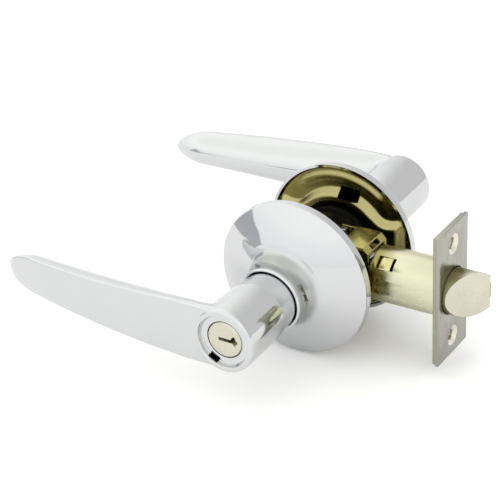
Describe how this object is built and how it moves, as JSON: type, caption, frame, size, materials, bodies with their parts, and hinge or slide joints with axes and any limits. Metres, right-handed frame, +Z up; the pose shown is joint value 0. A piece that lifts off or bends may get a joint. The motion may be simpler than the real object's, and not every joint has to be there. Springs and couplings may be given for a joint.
{
  "type": "lever handle lockset",
  "caption": "Keyed lever handle lockset for a bored door: levers on round roses, a cylindrical chassis and a tubular spring latch with a deadlatch plunger.",
  "frame": {"origin": "on the spindle axis, level with the latch axis, midway through the door", "axes": "+X along the latch to the door edge, +Y along the spindle to the inside of the room, +Z up; both levers point along -X"},
  "size_m": [0.1834, 0.1556, 0.066],
  "materials": {
    "chrome": "polished chrome plate on zinc casting",
    "zinc_yellow": "yellow-passivated zinc plate on pressed steel",
    "zinc_pale": "pale yellow-passivated zinc plate",
    "black_steel": "glossy black coating",
    "satin_steel": "satin stainless, brushed lengthwise",
    "nickel": "satin nickel plate",
    "brass": "turned brass",
    "steel": "plain machined steel",
    "spring_steel": "drawn spring wire"
  },
  "bodies": {
    "chassis": {"outside_rose": "chrome", "outside_rose_plate": "zinc_yellow", "outside_hub": "steel", "outside_retaining_ring": "steel", "outside_return_spring": "spring_steel", "drum": "black_steel", "chassis_frame": "zinc_yellow", "retractor_spring": "spring_steel", "latch_tube": "zinc_pale", "tube_guide": "zinc_yellow", "backing_plate": "zinc_pale", "faceplate": "satin_steel", "bolt_spring": "spring_steel", "inside_hub": "steel", "inside_retaining_ring": "steel", "mounting_plate": "zinc_yellow", "mounting_screws": "steel", "inside_rose": "chrome", "inside_return_spring": "spring_steel"},
    "outside_lever": {"outside_lever": "chrome", "outside_lever_insert": "zinc_pale", "outside_sleeve": "steel", "outside_spring_driver": "zinc_yellow", "cylinder_shell": "brass", "driver_pins": "brass", "driver_springs": "spring_steel", "cylinder_clip": "spring_steel", "clutch_spring": "spring_steel", "spring_seat": "steel"},
    "outside_catch": {"outside_lever_catch": "steel"},
    "key_plug": {"key_plug": "nickel", "bottom_pins": "brass", "plug_clip": "steel", "tailpiece": "steel"},
    "clutch": {"clutch_bar": "steel"},
    "retractor": {"retractor": "steel"},
    "latch_bolt": {"latch_bolt": "nickel", "tail_bar": "steel", "plunger_spring": "spring_steel"},
    "deadlatch": {"deadlatch_plunger": "satin_steel"},
    "inside_lever": {"inside_lever": "chrome", "inside_lever_insert": "zinc_pale", "inside_sleeve": "steel", "inside_spring_driver": "zinc_yellow", "spindle": "steel", "drive_cam": "zinc_pale", "button_bush": "brass"},
    "inside_catch": {"inside_lever_catch": "steel"},
    "turn_button": {"turn_button": "nickel", "lock_bar": "steel", "lock_cam": "steel"}
  },
  "joints": [
    {"name": "outside_lever_turn", "type": "hinge", "parent": "chassis", "child": "outside_lever", "pos_m": [0, 0, 0], "axis": [0, -1, 0], "range_deg": [0, 60], "stiffness_Nm_per_rad": 1.2, "springref_deg": -57.3},
    {"name": "inside_lever_turn", "type": "hinge", "parent": "chassis", "child": "inside_lever", "pos_m": [0, 0, 0], "axis": [0, -1, 0], "range_deg": [0, 60], "stiffness_Nm_per_rad": 1.2, "springref_deg": -57.3},
    {"name": "retractor_slide", "type": "slide", "parent": "chassis", "child": "retractor", "axis": [-1, 0, 0], "range_m": [0, 0.012], "stiffness_N_per_m": 400, "springref_m": -0.01, "deforming": ["retractor_spring"]},
    {"name": "latch_bolt_slide", "type": "slide", "parent": "chassis", "child": "latch_bolt", "axis": [-1, 0, 0], "range_m": [0, 0.012], "stiffness_N_per_m": 400, "springref_m": -0.01, "deforming": ["bolt_spring"]},
    {"name": "deadlatch_slide", "type": "slide", "parent": "latch_bolt", "child": "deadlatch", "axis": [-1, 0, 0], "range_m": [0, 0.0065], "stiffness_N_per_m": 200, "springref_m": -0.005, "deforming": ["plunger_spring"]},
    {"name": "key_plug_turn", "type": "hinge", "parent": "outside_lever", "child": "key_plug", "pos_m": [0, 0, 0], "axis": [0, -1, 0], "range_deg": [-90, 90]},
    {"name": "turn_button_turn", "type": "hinge", "parent": "inside_lever", "child": "turn_button", "pos_m": [0, 0, 0], "axis": [0, 1, 0], "range_deg": [0, 90], "stiffness_Nm_per_rad": 0.01, "springref_deg": -17.19},
    {"name": "clutch_slide", "type": "slide", "parent": "outside_lever", "child": "clutch", "axis": [0, -1, 0], "range_m": [0, 0.004], "deforming": ["clutch_spring"]},
    {"name": "outside_catch_press", "type": "slide", "parent": "outside_lever", "child": "outside_catch", "axis": [0, 0, 1], "range_m": [0, 0.0015], "stiffness_N_per_m": 200, "springref_m": -0.005},
    {"name": "inside_catch_press", "type": "slide", "parent": "inside_lever", "child": "inside_catch", "axis": [0, 0, 1], "range_m": [0, 0.0015], "stiffness_N_per_m": 200, "springref_m": -0.005}
  ],
  "couplings": [
    {"joint": "inside_lever_turn", "follows": "outside_lever_turn", "ratio": 1},
    {"joint": "retractor_slide", "follows": "outside_lever_turn", "m_per_rad": 0.011459},
    {"joint": "latch_bolt_slide", "follows": "outside_lever_turn", "m_per_rad": 0.011459},
    {"joint": "clutch_slide", "follows": "turn_button_turn", "m_per_rad": 0.0025465}
  ]
}
